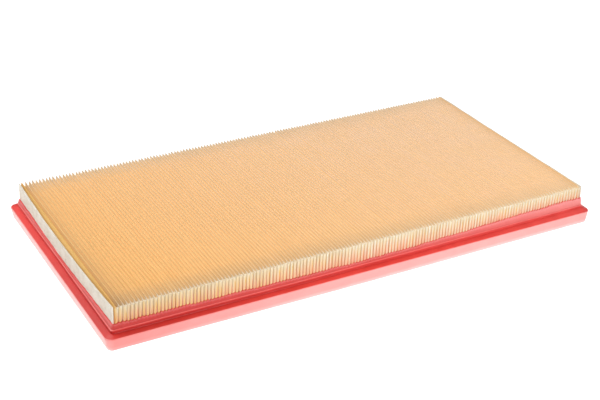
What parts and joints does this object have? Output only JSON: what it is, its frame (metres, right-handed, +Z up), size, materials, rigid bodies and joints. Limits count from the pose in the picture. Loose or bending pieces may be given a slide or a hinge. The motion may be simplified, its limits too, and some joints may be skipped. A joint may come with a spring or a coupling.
{
  "type": "air filter",
  "caption": "Flat engine air filter panel: a deep pleated paper pack standing in a moulded polyurethane frame with a flat sealing face underneath and a flange all round.",
  "frame": {"origin": "middle of the flat sealing face underneath the frame", "axes": "+X along the length, across the folds; +Y along the folds; +Z up, out of the pleated face that stands above the flange"},
  "size_m": [0.383, 0.1962, 0.0296],
  "materials": {
    "polyurethane": "satin",
    "filter_paper": "matte",
    "end_board": "matte",
    "hot_melt": "satin"
  },
  "bodies": {
    "root": {"pu_frame": "polyurethane", "pleated_media": "filter_paper", "end_board_left": "end_board", "end_board_right": "end_board", "edge_seal_front": "hot_melt", "edge_seal_rear": "hot_melt", "spacer_bead_1": "hot_melt", "spacer_bead_2": "hot_melt", "spacer_bead_3": "hot_melt", "spacer_bead_4": "hot_melt"}
  },
  "joints": []
}
